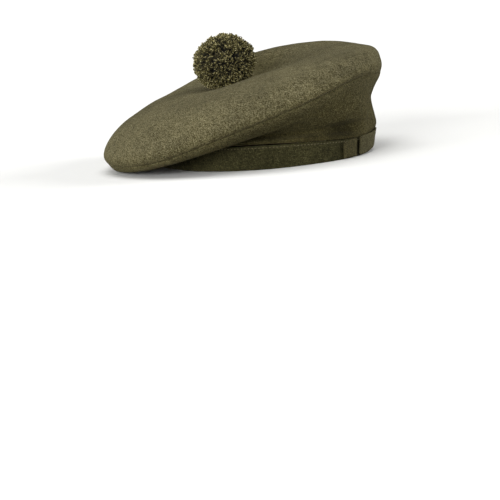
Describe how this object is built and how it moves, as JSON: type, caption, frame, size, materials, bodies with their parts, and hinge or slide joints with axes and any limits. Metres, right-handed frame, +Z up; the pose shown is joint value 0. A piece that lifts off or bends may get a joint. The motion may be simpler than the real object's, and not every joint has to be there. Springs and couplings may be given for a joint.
{
  "type": "tam o shanter",
  "caption": "Soft round wool cap with a wide flat crown pulled down to one side, a folded headband and a wool pompom.",
  "frame": {"origin": "on the surface the hat rests on, below the middle of its extents", "axes": "+Z up, -Y to the front of the hat, +X to the wearer's left"},
  "size_m": [0.2271, 0.223, 0.1001],
  "materials": {
    "crown_felt": "matte felted wool, olive",
    "band_felt": "matte felted wool, olive",
    "pompom_yarn": "matte cut wool yarn, dark olive"
  },
  "bodies": {
    "root": {"crown_top": "crown_felt", "crown_underside": "crown_felt", "headband": "band_felt", "badge_tab": "band_felt", "badge_patch": "band_felt", "toorie": "pompom_yarn"}
  },
  "joints": []
}
